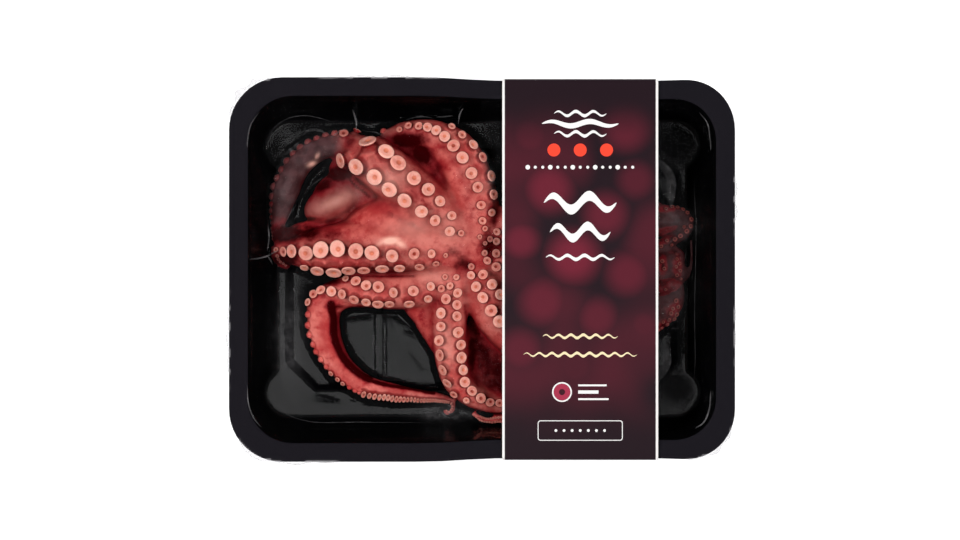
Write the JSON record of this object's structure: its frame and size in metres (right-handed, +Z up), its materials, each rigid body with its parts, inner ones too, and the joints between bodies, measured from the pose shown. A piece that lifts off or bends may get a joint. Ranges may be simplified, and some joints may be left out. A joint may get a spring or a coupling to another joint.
{
  "type": "cooked octopus",
  "caption": "Whole cooked octopus, suckers up with its arms curled, vacuum sealed under clear skin film in a black tray, with a card sleeve round the tray.",
  "frame": {"origin": "on the surface the pack lies on, under the middle of the tray", "axes": "+X along the tray's length towards the sleeve's end, +Y across the tray away from a reader of the sleeve, +Z up"},
  "size_m": [0.25, 0.19, 0.0349],
  "materials": {
    "tray": "gloss",
    "octopus": "wet gloss",
    "film": "clear gloss",
    "sleeve": "satin print"
  },
  "bodies": {
    "root": {"tray": "tray", "octopus": "octopus", "film": "film", "sleeve": "sleeve"}
  },
  "joints": []
}
